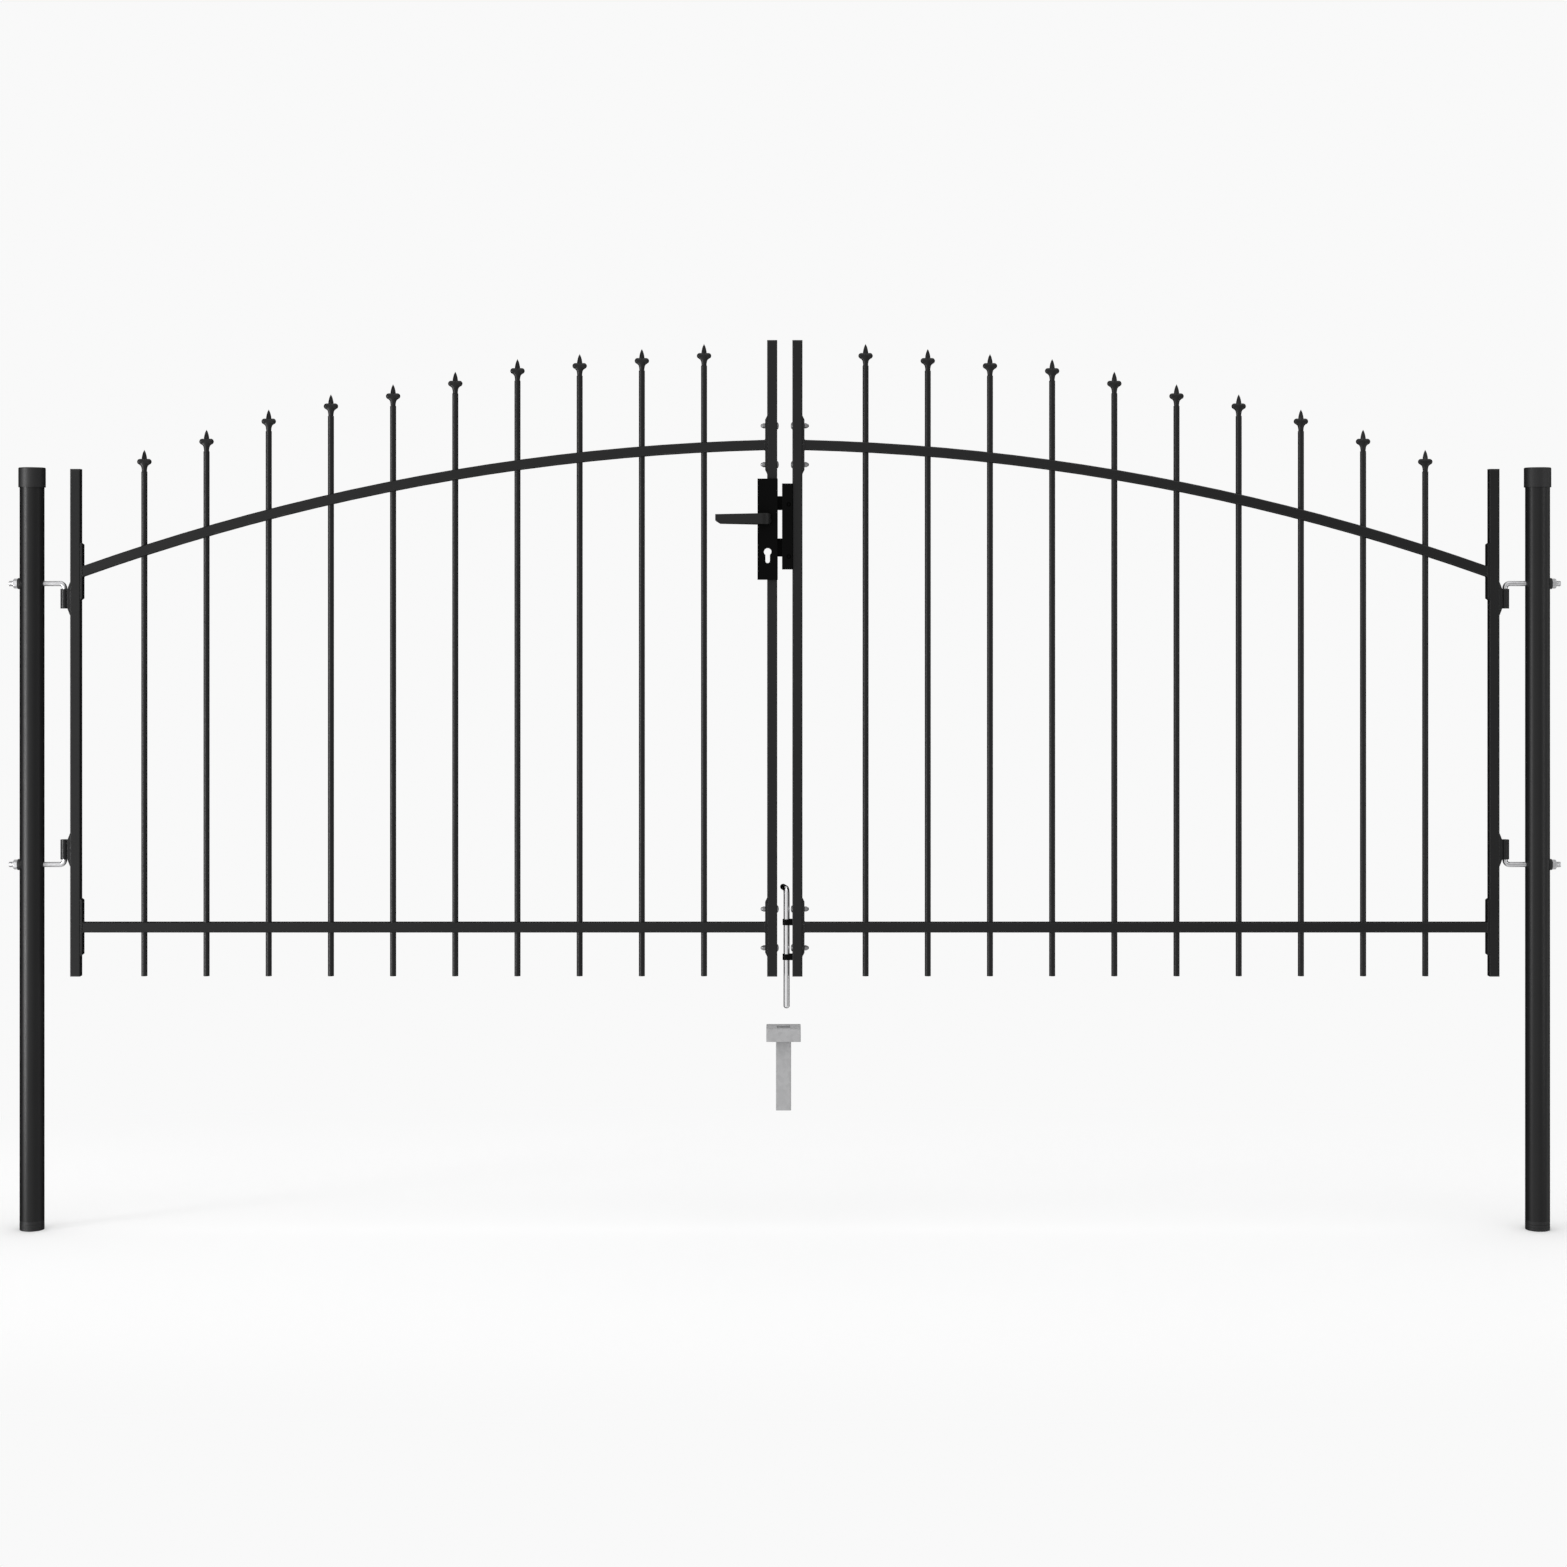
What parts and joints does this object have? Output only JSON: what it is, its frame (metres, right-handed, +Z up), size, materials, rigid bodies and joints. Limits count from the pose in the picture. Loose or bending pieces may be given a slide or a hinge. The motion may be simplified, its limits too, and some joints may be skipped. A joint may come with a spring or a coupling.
{
  "type": "driveway gate",
  "caption": "Double driveway gate of black square steel tube with spear-topped round pickets under a rising arch, hung on round posts, with lever lock, drop bolt and ground socket.",
  "frame": {"origin": "centre of the underside of the left post's foot, seen from the street", "axes": "+X along the gate to the right post, -Y towards the street, +Z up"},
  "size_m": [3.075, 0.087, 1.7615],
  "materials": {
    "frame_black": "satin powder coat",
    "lock_black": "semi-gloss black",
    "plastic_black": "moulded satin",
    "zinc": "galvanised"
  },
  "bodies": {
    "posts": {"left_post": "frame_black", "right_post": "frame_black", "left_post_cap": "plastic_black", "right_post_cap": "plastic_black", "left_post_foot": "plastic_black", "right_post_foot": "plastic_black", "left_upper_hook": "zinc", "left_lower_hook": "zinc", "right_upper_hook": "zinc", "right_lower_hook": "zinc", "hook_saddles": "plastic_black", "hook_nuts": "zinc", "ground_socket": "zinc"},
    "left_leaf": {"left_hinge_stile": "frame_black", "left_meeting_stile": "frame_black", "left_stile_caps": "plastic_black", "left_arch_rail": "frame_black", "left_bottom_rail": "frame_black", "left_pickets": "frame_black", "left_finials": "frame_black", "left_hinge_flanges": "frame_black", "left_meeting_flanges": "frame_black", "left_flange_bolts": "zinc", "left_upper_barrel": "frame_black", "left_lower_barrel": "frame_black", "lock_case": "lock_black"},
    "right_leaf": {"right_hinge_stile": "frame_black", "right_meeting_stile": "frame_black", "right_stile_caps": "plastic_black", "right_arch_rail": "frame_black", "right_bottom_rail": "frame_black", "right_pickets": "frame_black", "right_finials": "frame_black", "right_hinge_flanges": "frame_black", "right_meeting_flanges": "frame_black", "right_flange_bolts": "zinc", "right_upper_barrel": "frame_black", "right_lower_barrel": "frame_black", "keeper": "lock_black", "bolt_guides": "lock_black"},
    "lever": {"lever_handle": "lock_black"},
    "latch": {"latch_bolt": "lock_black"},
    "dead_bolt": {"dead_bolt": "lock_black"},
    "drop_bolt": {"drop_bolt": "zinc"}
  },
  "joints": [
    {"name": "left_leaf_swing", "type": "hinge", "parent": "posts", "child": "left_leaf", "pos_m": [0.0645, 0, 1], "axis": [0, 0, 1], "range_deg": [0, 90]},
    {"name": "right_leaf_swing", "type": "hinge", "parent": "posts", "child": "right_leaf", "pos_m": [2.9205, 0, 1], "axis": [0, 0, -1], "range_deg": [0, 90]},
    {"name": "lever_turn", "type": "hinge", "parent": "left_leaf", "child": "lever", "pos_m": [1.4585, 0, 1.4075], "axis": [0, -1, 0], "range_deg": [0, 40], "stiffness_Nm_per_rad": 0.8, "springref_deg": -20.05},
    {"name": "latch_slide", "type": "slide", "parent": "left_leaf", "child": "latch", "axis": [-1, 0, 0], "range_m": [0, 0.0126]},
    {"name": "dead_bolt_slide", "type": "slide", "parent": "left_leaf", "child": "dead_bolt", "axis": [-1, 0, 0], "range_m": [0, 0.0125]},
    {"name": "drop_bolt_slide", "type": "slide", "parent": "right_leaf", "child": "drop_bolt", "axis": [0, 0, -1], "range_m": [-0.04, 0.0495]}
  ],
  "couplings": [
    {"joint": "latch_slide", "follows": "lever_turn", "m_per_rad": 0.0179}
  ]
}
